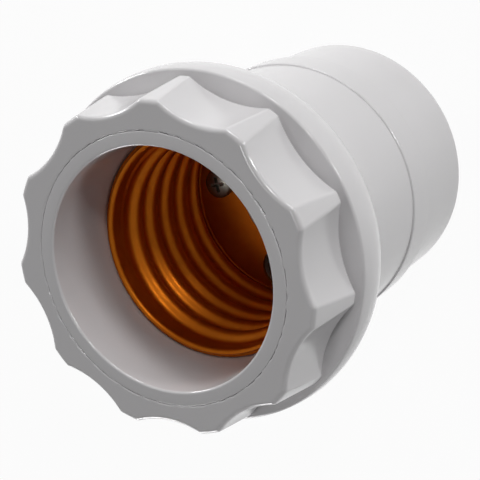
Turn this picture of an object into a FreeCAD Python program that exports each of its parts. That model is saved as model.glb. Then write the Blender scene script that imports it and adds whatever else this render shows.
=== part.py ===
import FreeCAD, Part
import Sketcher
import math
import os

# Lamp socket for an Edison screw lamp cap, in millimetres.
# The socket stands on its rear cap with the mouth up. The origin is the centre of the rear face
# and +Z runs along the socket's axis to the mouth. The shell screws stand on the X axis.

SIZES = {
    # Brass screw shell: the Edison thread has 3.629 mm pitch and 1.095 mm depth
    "ScrewMajorRadius": 13.3,
    "ScrewDepth": 1.095,
    "ScrewPitch": 3.629,
    "ScrewLand": 0.06,
    "SheetThickness": 0.35,
    "LipWidth": 1.1,
    "LipHeight": 0.65,
    "LipFlatness": 0.05,
    "LipSeatDepth": 11.4,
    "ThreadStartDepth": 13.4,
    "ThreadFade": 1.1,
    "DiscDepth": 30.7,
    "DiscThickness": 0.4,
    "DiscHoleGap": 0.3,
    "DiscReliefHeight": 0.9,
    # Shell, from the screw shell outwards
    "ShellGap": 0.3,
    "LipGap": 0.1,
    "BarrelWall": 1.7,
    "MouthEdge": 0.3,
    "SeamEdge": 0.15,
    "SpigotWall": 1.55,
    "SpigotLength": 6.45,
    "BodyStep": 1.6,
    "LedgeThickness": 1.5,
    "LedgeWidth": 3.35,
    "LedgeNotchMargin": 0.65,
    "LedgeNotchGap": 0.6,
    # Shade ring on the barrel, with the turn of its first lobe in degrees from the X axis
    "ThreadGap": 0.12,
    "RingHeight": 8.3,
    "RingRootWall": 2.05,
    "RingFlare": 1.14,
    "RingFrontEdge": 0.5,
    "RingRearEdge": 0.7,
    "LobeCount": 11,
    "LobeTurn": 14.8,
    "ScallopDepth": 1.35,
    "ScallopRadius": 11.0,
    "ScallopRearDepth": 1.66,
    "ScallopRearRadius": 14.5,
    # Flange behind the shade ring
    "ShadeGap": 0.3,
    "FlangeStep": 0.54,
    "FlangeTaper": 0.8,
    "FlangeThickness": 6.2,
    "FlangeRim": 9.0,
    "FlangeEdge": 0.35,
    "FlangeRoot": 1.2,
    # Rear cap
    "JointGap": 0.15,
    "CapBandHeight": 4.6,
    "CapBandStep": 0.2,
    "CapTailStep": 0.45,
    "CapRearRound": 1.2,
    "CapEdge": 0.2,
    "CapFloor": 2.4,
    "CapInnerStep": 0.72,
    "CapInnerRound": 1.5,
    "SpigotEndGap": 0.4,
    "CapBossWall": 3.0,
    "CapBossRise": 1.8,
    # Threaded entry bush, its lock washer and its nut
    "EntryRadius": 4.46,
    "BushWall": 1.44,
    "BushFlangeStep": 1.7,
    "BushFlangeThickness": 1.1,
    "BushProud": 0.2,
    "BushChamfer": 0.4,
    "BushSideGap": 0.05,
    "NutWall": 1.1,
    "NutThickness": 1.8,
    "LockWasherWidth": 2.2,
    "LockWasherThickness": 0.5,
    "LockToothRadius": 0.7,
    "LockToothCount": 12,
    "WiringGap": 1.1,
    # Insulating contact block
    "BlockGap": 0.15,
    "BlockHeight": 6.0,
    "BossWall": 1.8,
    "BossHeight": 1.8,
    "BossRoof": 1.0,
    "CavityGap": 0.3,
    "AccessGap": 0.35,
    "AccessDepth": 1.0,
    "PartGap": 0.1,
    # Sprung centre contact
    "ContactRadius": 2.4,
    "ContactFlangeStep": 0.7,
    "ContactFlangeThickness": 1.0,
    "ContactRise": 1.6,
    "ContactDome": 0.6,
    "ContactTailGap": 0.72,
    "ContactTailLength": 2.2,
    "ContactSlack": 0.1,
    "SlideGap": 0.1,
    "SpringInset": 0.9,
    "SpringWireRadius": 0.28,
    "SpringTurns": 4,
    # Shell screws with the washer and nut of the one that carries no wire
    "ShellScrewHead": 1.9,
    "ShellScrewHeadHeight": 1.1,
    "ShellScrewHeadGap": 0.605,
    "ShellScrewShank": 1.0,
    "ShellScrewReach": 3.1,
    "CrossWidth": 0.45,
    "CrossLength": 2.1,
    "CrossDepth": 0.6,
    "WasherWidth": 1.2,
    "WasherThickness": 0.5,
    "ShellNutWall": 1.0,
    "ShellNutThickness": 1.3,
    # Line plate and the two wire clamps under the block
    "PlateThickness": 0.8,
    "PlateWidth": 5.4,
    "PlateEnd": 2.4,
    "SpringSeatRim": 0.9,
    "ClampHeight": 3.8,
    "ClampWidth": 5.4,
    "LineClampGap": 0.4,
    "LineClampLength": 4.2,
    "NeutralClampInset": 3.1,
    "NeutralClampLength": 4.9,
    "NeutralClampWall": 1.0,
    "NeutralWireSide": 2.2,
    "WireRadius": 1.1,
    "WireOffset": 2.6,
    "ClampScrewShank": 0.8,
    "ClampScrewReach": 2.4,
    "ClampScrewHead": 1.4,
    "ClampScrewHeadHeight": 0.9,
    "SlotWidth": 0.45,
    "SlotDepth": 0.4,
    "PressureWasherRim": 0.2,
    "PressureWasherThickness": 0.25,
    # Plate screw seen through the round access hole, and the screws that hold the block
    "PlateScrewHead": 2.3,
    "PlateScrewHeadHeight": 0.9,
    "PlateScrewShank": 0.9,
    "BlockScrewInset": 1.8,
    "BlockScrewHead": 1.4,
    "BlockScrewHeadHeight": 0.8,
    "BlockScrewShank": 0.75,
    "BlockScrewDepth": 4.5,
}


class Size:
    """A size with its value and the expression text that ties it to the sheet."""

    def __init__(self, value, text):
        self.value = float(value)
        self.text = text

    def join(self, other, sign, value):
        return Size(value, f"({self.text} {sign} {other.text})")

    def __add__(self, other):
        other = as_size(other)
        return self.join(other, "+", self.value + other.value)

    def __sub__(self, other):
        other = as_size(other)
        return self.join(other, "-", self.value - other.value)

    def __mul__(self, other):
        other = as_size(other)
        return self.join(other, "*", self.value * other.value)

    def __truediv__(self, other):
        other = as_size(other)
        return self.join(other, "/", self.value / other.value)

    def __radd__(self, other):
        return as_size(other) + self

    def __rsub__(self, other):
        return as_size(other) - self

    def __rmul__(self, other):
        return as_size(other) * self

    def __neg__(self):
        return Size(-self.value, f"(-1 * {self.text})")


def as_size(number):
    if isinstance(number, Size):
        return number
    return Size(number, repr(float(number)))


doc = FreeCAD.newDocument("LampSocket")
sheet = doc.addObject("Spreadsheet::Sheet", "Sizes")
for row, (size_name, size_value) in enumerate(SIZES.items(), start=1):
    sheet.set(f"A{row}", size_name)
    sheet.set(f"B{row}", str(size_value))
    sheet.setAlias(f"B{row}", size_name)
doc.recompute()


def size(name):
    return Size(SIZES[name], f"Sizes.{name}")


# Entry bush and what stands on it, from the rear face up
BUSH_RADIUS = size("EntryRadius") + size("BushWall")
BUSH_FLANGE_RADIUS = BUSH_RADIUS + size("BushFlangeStep")
CAP_BOSS_TOP_Z = size("CapFloor") + size("CapBossRise")
LOCK_WASHER_Z = CAP_BOSS_TOP_Z + size("BushSideGap")
BUSH_NUT_Z = LOCK_WASHER_Z + size("LockWasherThickness") + size("BushSideGap")
BUSH_TOP_Z = BUSH_NUT_Z + size("NutThickness") + size("BushProud")

# Heights of the pieces in the shell, from the entry bush up to the mouth
CLAMP_BOTTOM_Z = BUSH_TOP_Z + size("WiringGap")
CLAMP_RISE = size("ClampHeight")
CLAMP_SCREW_Z = CLAMP_BOTTOM_Z + CLAMP_RISE / 2
CLAMP_TOP_Z = CLAMP_BOTTOM_Z + CLAMP_RISE
BLOCK_BOTTOM_Z = CLAMP_TOP_Z + size("PlateThickness")
BLOCK_TOP_Z = BLOCK_BOTTOM_Z + size("BlockHeight")
DISC_TOP_Z = BLOCK_TOP_Z + size("DiscThickness")
BOSS_TOP_Z = DISC_TOP_Z + size("BossHeight")
CAVITY_TOP_Z = BOSS_TOP_Z - size("BossRoof")
ACCESS_FLOOR_Z = BLOCK_TOP_Z - size("AccessDepth")
MOUTH_Z = DISC_TOP_Z + size("DiscDepth")
LIP_SEAT_Z = MOUTH_Z - size("LipSeatDepth")
RING_REAR_Z = MOUTH_Z - size("RingHeight")
FLANGE_FRONT_Z = RING_REAR_Z - size("ShadeGap")
FLANGE_REAR_Z = FLANGE_FRONT_Z - size("FlangeThickness")
LEDGE_BOTTOM_Z = BLOCK_BOTTOM_Z - size("LedgeThickness")
JOINT_Z = LEDGE_BOTTOM_Z + size("SpigotLength")
CAP_TOP_Z = JOINT_Z - size("JointGap")

# Radii, from the lamp's thread outwards
SCREW_MINOR_RADIUS = size("ScrewMajorRadius") - size("ScrewDepth")
SHEET_RADIUS = size("ScrewMajorRadius") + size("SheetThickness")
LIP_RADIUS = size("ScrewMajorRadius") + size("LipWidth")
SHELL_BORE = SHEET_RADIUS + size("ShellGap")
MOUTH_RADIUS = LIP_RADIUS + size("LipGap")
BARREL_RADIUS = MOUTH_RADIUS + size("BarrelWall")
RING_BORE_RADIUS = BARREL_RADIUS + size("ThreadGap")
RING_FRONT_RADIUS = RING_BORE_RADIUS + size("RingRootWall") + size("ScallopDepth")
RING_REAR_RADIUS = RING_FRONT_RADIUS + size("RingFlare")
FLANGE_FRONT_RADIUS = RING_REAR_RADIUS + size("FlangeStep")
FLANGE_REAR_RADIUS = FLANGE_FRONT_RADIUS - size("FlangeTaper")
LEDGE_RADIUS = SHELL_BORE - size("LedgeWidth")
SPIGOT_RADIUS = SHELL_BORE + size("SpigotWall")
BODY_RADIUS = SPIGOT_RADIUS + size("BodyStep")
CAP_THREAD_RADIUS = SPIGOT_RADIUS + size("ThreadGap")

# Radii and places of the contact block's fittings
CONTACT_FLANGE_RADIUS = size("ContactRadius") + size("ContactFlangeStep")
SPRING_RADIUS = CONTACT_FLANGE_RADIUS - size("SpringInset")
CAVITY_RADIUS = CONTACT_FLANGE_RADIUS + size("CavityGap")
BOSS_RADIUS = CAVITY_RADIUS + size("BossWall")
ACCESS_RADIUS = size("PlateScrewHead") + size("AccessGap")
FIXING_CIRCLE = SCREW_MINOR_RADIUS - size("ShellScrewHead") - size("ShellScrewHeadGap")
BLOCK_SCREW_CIRCLE = SHELL_BORE - size("BlockScrewInset")
DIAGONAL = BLOCK_SCREW_CIRCLE * math.sqrt(0.5)
LINE_CLAMP_END = FIXING_CIRCLE - size("PlateScrewShank") - size("LineClampGap")
NEUTRAL_CLAMP_START = FIXING_CIRCLE - size("NeutralClampInset")
NEUTRAL_CLAMP_END = NEUTRAL_CLAMP_START + size("NeutralClampLength")
LEDGE_NOTCH_SIDE = size("NeutralWireSide") + size("ClampScrewHead") + size("LedgeNotchGap")

QUARTER_TURN = 90
nodes = []


def new_body(label):
    """Start a sub-part. Its label is also its node's name."""
    body = doc.addObject("PartDesign::Body", label)
    body.Label = label
    nodes.append(body)
    return body


def origin_feature(body, role):
    return next(item for item in body.Origin.OriginFeatures if item.Role == role)


def new_sketch(body, name, plane, offset=None):
    """Sketch on one of the body's origin planes, raised by an offset along the plane's normal."""
    sketch = body.newObject("Sketcher::SketchObject", name)
    sketch.AttachmentSupport = (origin_feature(body, plane), [""])
    sketch.MapMode = "FlatFace"
    if offset is not None:
        sketch.AttachmentOffset = FreeCAD.Placement(
            FreeCAD.Vector(0, 0, offset.value), FreeCAD.Rotation()
        )
        sketch.setExpression("AttachmentOffset.Base.z", offset.text)
    return sketch


def fix_point(sketch, geometry, point, across, up):
    """Tie one point of a sketch to its two coordinates."""
    for kind, axis_line, coordinate in (("DistanceX", -2, across), ("DistanceY", -1, up)):
        coordinate = as_size(coordinate)
        if coordinate.text == "0.0":
            sketch.addConstraint(Sketcher.Constraint("PointOnObject", geometry, point, axis_line))
            continue
        place = sketch.addConstraint(
            Sketcher.Constraint(kind, -1, 1, geometry, point, coordinate.value)
        )
        sketch.setExpression(f"Constraints[{place}]", coordinate.text)


def arc_between(start, end, radius, turn):
    """Arc from start to end. Turn +1 goes anticlockwise, -1 clockwise."""
    across = end[0] - start[0]
    up = end[1] - start[1]
    chord = math.hypot(across, up)
    rise = math.sqrt(max(radius * radius - chord * chord / 4, 0))
    centre_x = (start[0] + end[0]) / 2 - turn * up / chord * rise
    centre_y = (start[1] + end[1]) / 2 + turn * across / chord * rise
    first, last = (start, end) if turn > 0 else (end, start)
    first_angle = math.atan2(first[1] - centre_y, first[0] - centre_x)
    last_angle = math.atan2(last[1] - centre_y, last[0] - centre_x)
    if last_angle <= first_angle:
        last_angle += 2 * math.pi
    centre = FreeCAD.Vector(centre_x, centre_y, 0)
    circle = Part.Circle(centre, FreeCAD.Vector(0, 0, 1), radius)
    return Part.ArcOfCircle(circle, first_angle, last_angle)


def draw_outline(sketch, corners, arcs=None):
    """Closed outline through the corners. Arcs maps a side's number to its radius and turn."""
    arcs = arcs or {}
    ends = []
    points = [(as_size(across).value, as_size(up).value) for across, up in corners]
    for side, start in enumerate(points):
        end = points[(side + 1) % len(points)]
        if side in arcs:
            radius, turn = arcs[side]
            place = sketch.addGeometry(arc_between(start, end, radius.value, turn))
            ends.append((place, 1, 2) if turn > 0 else (place, 2, 1))
        else:
            line = Part.LineSegment(FreeCAD.Vector(*start, 0), FreeCAD.Vector(*end, 0))
            ends.append((sketch.addGeometry(line), 1, 2))
    for side, (place, start_point, _) in enumerate(ends):
        before, _, before_end = ends[side - 1]
        sketch.addConstraint(
            Sketcher.Constraint("Coincident", before, before_end, place, start_point)
        )
        fix_point(sketch, place, start_point, *corners[side])
    for side, (radius, _) in arcs.items():
        place = sketch.addConstraint(Sketcher.Constraint("Radius", ends[side][0], radius.value))
        sketch.setExpression(f"Constraints[{place}]", radius.text)


def draw_circles(sketch, circles):
    """Circles given as centre across, centre up and radius."""
    for across, up, radius in circles:
        centre = FreeCAD.Vector(as_size(across).value, as_size(up).value, 0)
        circle = Part.Circle(centre, FreeCAD.Vector(0, 0, 1), radius.value)
        place = sketch.addGeometry(circle)
        rule = sketch.addConstraint(Sketcher.Constraint("Radius", place, radius.value))
        sketch.setExpression(f"Constraints[{rule}]", radius.text)
        if as_size(across).text == "0.0" and as_size(up).text == "0.0":
            sketch.addConstraint(Sketcher.Constraint("Coincident", place, 3, -1, 1))
        else:
            fix_point(sketch, place, 3, across, up)


def finish_feature(body, feature):
    body.Tip = feature
    doc.recompute()
    if feature.Shape.isNull():
        raise RuntimeError(f"{feature.Name} did not build")
    return feature


def revolve(body, name, corners, arcs=None):
    """Turn an outline, given as radius and height, about the body's Z axis."""
    sketch = new_sketch(body, f"{name}Outline", "XZ_Plane")
    draw_outline(sketch, corners, arcs)
    turned = body.newObject("PartDesign::Revolution", name)
    turned.Profile = sketch
    turned.ReferenceAxis = (sketch, ["V_Axis"])
    turned.Angle = 360
    return finish_feature(body, turned)


def pad_circles(body, name, circles, bottom, height):
    sketch = new_sketch(body, f"{name}Circles", "XY_Plane", bottom)
    draw_circles(sketch, circles)
    pad = body.newObject("PartDesign::Pad", name)
    pad.Profile = sketch
    pad.Length = height.value
    pad.setExpression("Length", height.text)
    return finish_feature(body, pad)


def pad_outline(body, name, corners, bottom, height):
    sketch = new_sketch(body, f"{name}Outline", "XY_Plane", bottom)
    draw_outline(sketch, corners)
    pad = body.newObject("PartDesign::Pad", name)
    pad.Profile = sketch
    pad.Length = height.value
    pad.setExpression("Length", height.text)
    return finish_feature(body, pad)


def cut(body, name, sketch, depth):
    """Pocket upwards from its sketch, checked to take material away."""
    before = body.Shape.Volume
    pocket = body.newObject("PartDesign::Pocket", name)
    pocket.Profile = sketch
    pocket.Length = depth.value
    pocket.setExpression("Length", depth.text)
    pocket.Reversed = True
    finish_feature(body, pocket)
    if not body.Shape.Volume < before:
        raise RuntimeError(f"{name} takes nothing away")
    return pocket


def cut_circles(body, name, circles, bottom, height):
    sketch = new_sketch(body, f"{name}Circles", "XY_Plane", bottom)
    draw_circles(sketch, circles)
    return cut(body, name, sketch, height)


def cut_outline(body, name, corners, bottom, height):
    sketch = new_sketch(body, f"{name}Outline", "XY_Plane", bottom)
    draw_outline(sketch, corners)
    return cut(body, name, sketch, height)


def rectangle(x_from, x_to, y_from, y_to):
    return [(x_from, y_from), (x_to, y_from), (x_to, y_to), (x_from, y_to)]


def around_axis(body, name, feature, count):
    """Repeat a feature evenly about the Z axis."""
    pattern = body.newObject("PartDesign::PolarPattern", name)
    pattern.Originals = [feature]
    pattern.Axis = (origin_feature(body, "Z_Axis"), [""])
    pattern.Angle = 360
    pattern.Occurrences = int(round(count.value))
    if "Sizes" in count.text:
        pattern.setExpression("Occurrences", count.text)
    return finish_feature(body, pattern)


def ring_edges(shape, rings):
    """Names of the full circles about the Z axis that have these radii and heights."""
    names = []
    for place, edge in enumerate(shape.Edges, start=1):
        if not edge.isClosed():
            continue
        centre = edge.CenterOfMass
        for radius, height in rings:
            same_length = abs(edge.Length - 2 * math.pi * radius.value) < 0.01
            centred = math.hypot(centre.x, centre.y) < 0.01
            if same_length and centred and abs(centre.z - height.value) < 0.01:
                names.append(f"Edge{place}")
    return names


def round_edges(body, name, edges, radius):
    base = body.Tip
    rounded = body.newObject("PartDesign::Fillet", name)
    rounded.Base = (base, edges)
    rounded.Radius = radius.value
    rounded.setExpression("Radius", radius.text)
    return finish_feature(body, rounded)


def bevel_edges(body, name, edges, width):
    base = body.Tip
    bevel = body.newObject("PartDesign::Chamfer", name)
    bevel.Base = (base, edges)
    bevel.Size = width.value
    bevel.setExpression("Size", width.text)
    return finish_feature(body, bevel)


# Shell: barrel, flange, body and the spigot for the rear cap, moulded in one piece
def make_shell():
    body = new_body("shell")
    corners = [
        (MOUTH_RADIUS, MOUTH_Z),
        (MOUTH_RADIUS, LIP_SEAT_Z),
        (SHELL_BORE, LIP_SEAT_Z),
        (SHELL_BORE, BLOCK_BOTTOM_Z),
        (LEDGE_RADIUS, BLOCK_BOTTOM_Z),
        (LEDGE_RADIUS, LEDGE_BOTTOM_Z),
        (SPIGOT_RADIUS, LEDGE_BOTTOM_Z),
        (SPIGOT_RADIUS, JOINT_Z),
        (BODY_RADIUS, JOINT_Z),
        (BODY_RADIUS, FLANGE_REAR_Z),
        (FLANGE_REAR_RADIUS, FLANGE_REAR_Z),
        (FLANGE_FRONT_RADIUS, FLANGE_FRONT_Z),
        (BARREL_RADIUS, FLANGE_FRONT_Z),
        (BARREL_RADIUS, MOUTH_Z),
    ]
    revolve(body, "ShellTurned", corners, {10: (size("FlangeRim"), 1)})
    root = ring_edges(body.Shape, [(BODY_RADIUS, FLANGE_REAR_Z)])
    round_edges(body, "FlangeRootRound", root, size("FlangeRoot"))
    flange = ring_edges(
        body.Shape,
        [
            (FLANGE_FRONT_RADIUS, FLANGE_FRONT_Z),
            (FLANGE_REAR_RADIUS, FLANGE_REAR_Z),
        ],
    )
    round_edges(body, "FlangeRounds", flange, size("FlangeEdge"))
    lip = ring_edges(body.Shape, [(MOUTH_RADIUS, MOUTH_Z)])
    round_edges(body, "MouthRound", lip, size("MouthEdge"))
    seams = ring_edges(body.Shape, [(BARREL_RADIUS, MOUTH_Z), (BODY_RADIUS, JOINT_Z)])
    bevel_edges(body, "SeamBevels", seams, size("SeamEdge"))
    reach = SHELL_BORE - size("LedgeNotchMargin")
    notch = cut_outline(
        body,
        "LedgeNotch",
        rectangle(as_size(0), reach, -LEDGE_NOTCH_SIDE, LEDGE_NOTCH_SIDE),
        LEDGE_BOTTOM_Z,
        size("LedgeThickness"),
    )
    around_axis(body, "LedgeNotches", notch, as_size(4))
    hole = cut_circles(
        body,
        "BlockScrewHole",
        [(DIAGONAL, DIAGONAL, size("BlockScrewShank") + size("PartGap"))],
        LEDGE_BOTTOM_Z,
        size("LedgeThickness"),
    )
    around_axis(body, "BlockScrewHoles", hole, as_size(2))


# Shade ring: an eleven-lobed nut on the barrel that holds a lampshade against the flange
def make_shade_ring():
    body = new_body("shade_ring")
    corners = [
        (RING_BORE_RADIUS, RING_REAR_Z),
        (RING_REAR_RADIUS, RING_REAR_Z),
        (RING_FRONT_RADIUS, MOUTH_Z),
        (RING_BORE_RADIUS, MOUTH_Z),
    ]
    revolve(body, "RingTurned", corners)
    overrun = size("ShadeGap")
    extra = overrun / size("RingHeight")
    front = size("ScallopRadius")
    rear = size("ScallopRearRadius")
    widening = (rear - front) * extra
    front_centre = RING_FRONT_RADIUS - size("ScallopDepth") + front
    rear_centre = RING_REAR_RADIUS - size("ScallopRearDepth") + rear
    shift = (rear_centre - front_centre) * extra
    front_circle = new_sketch(body, "ScallopFront", "XY_Plane", MOUTH_Z + overrun)
    draw_circles(front_circle, [(front_centre - shift, 0, front - widening)])
    rear_circle = new_sketch(body, "ScallopRear", "XY_Plane", RING_REAR_Z - overrun)
    draw_circles(rear_circle, [(rear_centre + shift, 0, rear + widening)])
    scallop = body.newObject("PartDesign::SubtractiveLoft", "Scallop")
    scallop.Profile = front_circle
    scallop.Sections = [rear_circle]
    finish_feature(body, scallop)
    around_axis(body, "Scallops", scallop, size("LobeCount"))
    limit = RING_BORE_RADIUS.value + size("RingRootWall").value / 2
    for name, height, radius in (
        ("RingFrontEdges", MOUTH_Z, size("RingFrontEdge")),
        ("RingRearEdges", RING_REAR_Z, size("RingRearEdge")),
    ):
        round_edges(body, name, outline_edges(body.Shape, height, limit), radius)
    bore = ring_edges(body.Shape, [(RING_BORE_RADIUS, MOUTH_Z)])
    bevel_edges(body, "RingSeamBevel", bore, size("SeamEdge"))
    body.Placement = FreeCAD.Placement(
        FreeCAD.Vector(0, 0, 0), FreeCAD.Rotation(FreeCAD.Vector(0, 0, 1), 0)
    )
    turn = "180deg / Sizes.LobeCount + Sizes.LobeTurn * 1deg"
    body.setExpression("Placement.Rotation.Angle", turn)


def outline_edges(shape, height, inner_limit):
    """Names of the edges that lie flat at a height, outside a radius."""
    names = []
    for place, edge in enumerate(shape.Edges, start=1):
        box = edge.BoundBox
        if box.ZMax - box.ZMin > 0.001 or abs(box.ZMin - height.value) > 0.001:
            continue
        if min(math.hypot(point.X, point.Y) for point in edge.Vertexes) > inner_limit:
            names.append(f"Edge{place}")
    return names


# Rear cap: closes the wiring space and carries the threaded cable entry
def make_rear_cap():
    body = new_body("rear_cap")
    tail = BODY_RADIUS - size("CapTailStep")
    band = BODY_RADIUS + size("CapBandStep")
    band_bottom = CAP_TOP_Z - size("CapBandHeight")
    shoulder = LEDGE_BOTTOM_Z - size("SpigotEndGap")
    inner = CAP_THREAD_RADIUS - size("CapInnerStep")
    floor = size("CapFloor")
    bush_hole = BUSH_RADIUS + size("PartGap")
    flange_hole = BUSH_FLANGE_RADIUS + size("PartGap")
    boss = bush_hole + size("CapBossWall")
    recess = size("BushFlangeThickness") + size("BushSideGap")
    corners = [
        (flange_hole, 0),
        (tail, 0),
        (tail, band_bottom),
        (band, band_bottom),
        (band, CAP_TOP_Z),
        (CAP_THREAD_RADIUS, CAP_TOP_Z),
        (CAP_THREAD_RADIUS, shoulder),
        (inner, shoulder),
        (inner, floor),
        (boss, floor),
        (boss, CAP_BOSS_TOP_Z),
        (bush_hole, CAP_BOSS_TOP_Z),
        (bush_hole, recess),
        (flange_hole, recess),
    ]
    revolve(body, "CapTurned", corners)
    rear = ring_edges(body.Shape, [(tail, as_size(0))])
    round_edges(body, "CapRearRounding", rear, size("CapRearRound"))
    inside = ring_edges(body.Shape, [(inner, floor)])
    round_edges(body, "CapInsideRound", inside, size("CapInnerRound"))
    edges = ring_edges(body.Shape, [(band, band_bottom), (band, CAP_TOP_Z)])
    round_edges(body, "CapBandRounds", edges, size("CapEdge"))


# Entry bush: threaded metal tube for the cable or a pendant rod, clamped by its nut
def make_entry_bush():
    body = new_body("entry_bush")
    low = size("BushFlangeThickness")
    corners = [
        (size("EntryRadius"), 0),
        (BUSH_FLANGE_RADIUS, 0),
        (BUSH_FLANGE_RADIUS, low),
        (BUSH_RADIUS, low),
        (BUSH_RADIUS, BUSH_TOP_Z),
        (size("EntryRadius"), BUSH_TOP_Z),
    ]
    revolve(body, "BushTurned", corners)
    edges = ring_edges(
        body.Shape,
        [
            (size("EntryRadius"), as_size(0)),
            (BUSH_RADIUS, BUSH_TOP_Z),
        ],
    )
    bevel_edges(body, "BushBevels", edges, size("BushChamfer"))


def hexagon(across_flats):
    """Corners of a hexagon about the origin."""
    corner = across_flats / math.sqrt(3)
    turns = [math.radians(60 * step) for step in range(6)]
    places = [(round(math.cos(turn), 9), round(math.sin(turn), 9)) for turn in turns]
    return [
        (corner * across if across else 0, corner * up if abs(up) > 0.001 else 0)
        for across, up in places
    ]


def make_lock_washer():
    body = new_body("bush_lock_washer")
    outer = BUSH_RADIUS + size("LockWasherWidth")
    thickness = size("LockWasherThickness")
    hole = BUSH_RADIUS + size("BushSideGap")
    pad_circles(body, "LockWasherDisc", [(0, 0, outer)], LOCK_WASHER_Z, thickness)
    cut_circles(body, "LockWasherBore", [(0, 0, hole)], LOCK_WASHER_Z, thickness)
    gap = [(outer, 0, size("LockToothRadius"))]
    notch = cut_circles(body, "LockToothGap", gap, LOCK_WASHER_Z, thickness)
    around_axis(body, "LockToothGaps", notch, size("LockToothCount"))


def make_bush_nut():
    body = new_body("bush_nut")
    bottom = BUSH_NUT_Z
    outline = hexagon((BUSH_RADIUS + size("NutWall")) * 2)
    pad_outline(body, "NutHexagon", outline, bottom, size("NutThickness"))
    bore = BUSH_RADIUS + size("BushSideGap")
    cut_circles(body, "NutBore", [(0, 0, bore)], bottom, size("NutThickness"))


# Screw shell: drawn brass cup with a rolled lip, the rounded thread and a pierced bottom
def make_screw_shell():
    body = new_body("screw_shell")
    major = size("ScrewMajorRadius")
    depth = size("ScrewDepth")
    minor = SCREW_MINOR_RADIUS
    outside = SHEET_RADIUS
    pitch = size("ScrewPitch")
    lip_z = LIP_SEAT_Z + size("LipHeight")
    thread_top = MOUTH_Z - size("ThreadStartDepth")
    fade = size("ThreadFade")
    relief_top = DISC_TOP_Z + size("DiscReliefHeight")
    hole = BOSS_RADIUS + size("DiscHoleGap")
    corners = [
        (major, lip_z),
        (LIP_RADIUS, lip_z),
        (LIP_RADIUS, LIP_SEAT_Z),
        (outside, LIP_SEAT_Z),
        (outside, BLOCK_TOP_Z),
        (hole, BLOCK_TOP_Z),
        (hole, DISC_TOP_Z),
        (major, DISC_TOP_Z),
        (major, relief_top),
        (minor, relief_top + fade),
        (minor, thread_top),
        (major, thread_top + fade),
    ]
    crown = size("LipWidth") / 2 + size("LipFlatness")
    revolve(body, "SheetTurned", corners, {0: (crown, -1)})
    arc = (pitch * pitch / 4 + depth * depth) / (4 * depth)
    edge = pitch / 2 - size("ScrewLand")
    middle = minor + depth / 2
    clear = minor - size("SheetThickness")
    groove = [
        (minor, -edge),
        (middle, -pitch / 4),
        (middle, pitch / 4),
        (minor, edge),
        (clear, edge),
        (clear, -edge),
    ]
    start = DISC_TOP_Z - pitch / 4
    sketch = new_sketch(body, "GrooveOutline", "XZ_Plane")
    draw_outline(sketch, groove, {0: (arc, 1), 1: (arc, -1), 2: (arc, 1)})
    sketch.AttachmentOffset = FreeCAD.Placement(
        FreeCAD.Vector(0, start.value, 0), FreeCAD.Rotation()
    )
    sketch.setExpression("AttachmentOffset.Base.y", start.text)
    before = body.Shape.Volume
    helix = body.newObject("PartDesign::SubtractiveHelix", "ThreadGroove")
    helix.Profile = sketch
    helix.ReferenceAxis = (sketch, ["V_Axis"])
    helix.Mode = 0
    helix.Pitch = pitch.value
    helix.setExpression("Pitch", pitch.text)
    rise = thread_top + fade - start
    helix.Height = rise.value
    helix.setExpression("Height", rise.text)
    finish_feature(body, helix)
    if not body.Shape.Volume < before:
        raise RuntimeError("The thread groove takes nothing away")
    shank = size("ShellScrewShank") + size("PartGap")
    holes = [
        (FIXING_CIRCLE, 0, shank),
        (-FIXING_CIRCLE, 0, shank),
        (0, FIXING_CIRCLE, ACCESS_RADIUS),
    ]
    cut_circles(body, "DiscHoles", holes, BLOCK_TOP_Z, size("DiscThickness"))


# Contact block: the insulating core that carries the screw shell, contact and terminals
def make_contact_block():
    body = new_body("contact_block")
    radius = SHELL_BORE - size("BlockGap")
    pad_circles(body, "BlockDisc", [(0, 0, radius)], BLOCK_BOTTOM_Z, size("BlockHeight"))
    boss_rise = BOSS_TOP_Z - BLOCK_TOP_Z
    pad_circles(body, "BlockBoss", [(0, 0, BOSS_RADIUS)], BLOCK_TOP_Z, boss_rise)
    cavity = CAVITY_TOP_Z - BLOCK_BOTTOM_Z
    cut_circles(body, "SpringCavity", [(0, 0, CAVITY_RADIUS)], BLOCK_BOTTOM_Z, cavity)
    guide = size("ContactRadius") + size("SlideGap")
    cut_circles(body, "ContactHole", [(0, 0, guide)], CAVITY_TOP_Z, size("BossRoof"))
    shank = size("ShellScrewShank") + size("PartGap")
    plate_shank = size("PlateScrewShank") + size("PartGap")
    through = [
        (FIXING_CIRCLE, 0, shank),
        (-FIXING_CIRCLE, 0, shank),
        (0, FIXING_CIRCLE, plate_shank),
    ]
    cut_circles(body, "FixingHoles", through, BLOCK_BOTTOM_Z, size("BlockHeight"))
    access = [(0, FIXING_CIRCLE, ACCESS_RADIUS)]
    cut_circles(body, "AccessWell", access, ACCESS_FLOOR_Z, size("AccessDepth"))
    pilot = size("BlockScrewShank") + size("BushSideGap")
    depth = size("BlockScrewDepth") + size("PartGap")
    places = [(DIAGONAL, DIAGONAL, pilot), (-DIAGONAL, -DIAGONAL, pilot)]
    cut_circles(body, "BlockScrewPilots", places, BLOCK_BOTTOM_Z, depth)


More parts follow.
